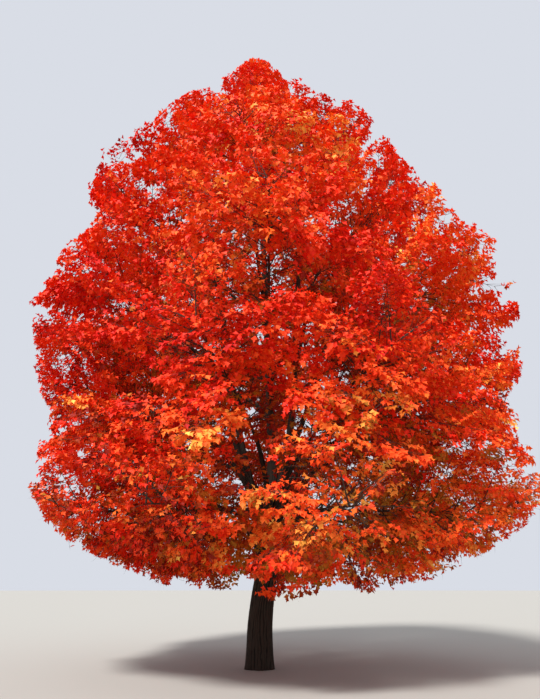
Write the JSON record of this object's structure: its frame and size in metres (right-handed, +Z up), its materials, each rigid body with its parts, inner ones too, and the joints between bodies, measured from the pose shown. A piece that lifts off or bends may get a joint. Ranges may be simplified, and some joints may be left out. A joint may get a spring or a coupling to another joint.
{
  "type": "sugar maple tree",
  "caption": "Whole broadleaf tree in autumn leaf: a short bare trunk, rising boughs and a full, rounded cone of red and orange foliage down to a low skirt.",
  "frame": {"origin": "middle of the flat cut under the trunk, at ground level", "axes": "+Z up the tree, -Y towards the side seen in the picture, +X to the right of that view"},
  "size_m": [11.5367, 12.1362, 19.3508],
  "materials": {
    "bark": "furrowed grey-brown bark, dull",
    "foliage_scarlet": "autumn leaves, slightly waxy",
    "foliage_red_orange": "autumn leaves, slightly waxy",
    "foliage_crimson": "autumn leaves, slightly waxy",
    "foliage_orange": "autumn leaves, slightly waxy"
  },
  "bodies": {
    "root": {"trunk": "bark", "leader_1": "bark", "leader_2": "bark", "leader_3": "bark", "bough_skirt_1": "bark", "bough_skirt_2": "bark", "bough_skirt_3": "bark", "bough_skirt_4": "bark", "bough_skirt_5": "bark", "bough_skirt_6": "bark", "bough_skirt_7": "bark", "bough_lower_1": "bark", "bough_lower_2": "bark", "bough_lower_3": "bark", "bough_lower_4": "bark", "bough_lower_5": "bark", "bough_lower_6": "bark", "bough_lower_7": "bark", "bough_middle_1": "bark", "bough_middle_2": "bark", "bough_middle_3": "bark", "bough_middle_4": "bark", "bough_middle_5": "bark", "bough_middle_6": "bark", "bough_upper_1": "bark", "bough_upper_2": "bark", "bough_upper_3": "bark", "bough_upper_4": "bark", "bough_upper_5": "bark", "leaves_crest": "foliage_scarlet", "leaves_leader_1": "foliage_red_orange", "leaves_leader_2": "foliage_crimson", "leaves_leader_3": "foliage_orange", "leaves_skirt_1": "foliage_scarlet", "leaves_skirt_2": "foliage_red_orange", "leaves_skirt_3": "foliage_crimson", "leaves_skirt_4": "foliage_orange", "leaves_skirt_5": "foliage_scarlet", "leaves_skirt_6": "foliage_red_orange", "leaves_skirt_7": "foliage_crimson", "leaves_lower_1": "foliage_orange", "leaves_lower_2": "foliage_scarlet", "leaves_lower_3": "foliage_red_orange", "leaves_lower_4": "foliage_crimson", "leaves_lower_5": "foliage_orange", "leaves_lower_6": "foliage_scarlet", "leaves_lower_7": "foliage_red_orange", "leaves_middle_1": "foliage_crimson", "leaves_middle_2": "foliage_orange", "leaves_middle_3": "foliage_scarlet", "leaves_middle_4": "foliage_red_orange", "leaves_middle_5": "foliage_crimson", "leaves_middle_6": "foliage_orange", "leaves_upper_1": "foliage_scarlet", "leaves_upper_2": "foliage_red_orange", "leaves_upper_3": "foliage_crimson", "leaves_upper_4": "foliage_orange", "leaves_upper_5": "foliage_scarlet"}
  },
  "joints": []
}
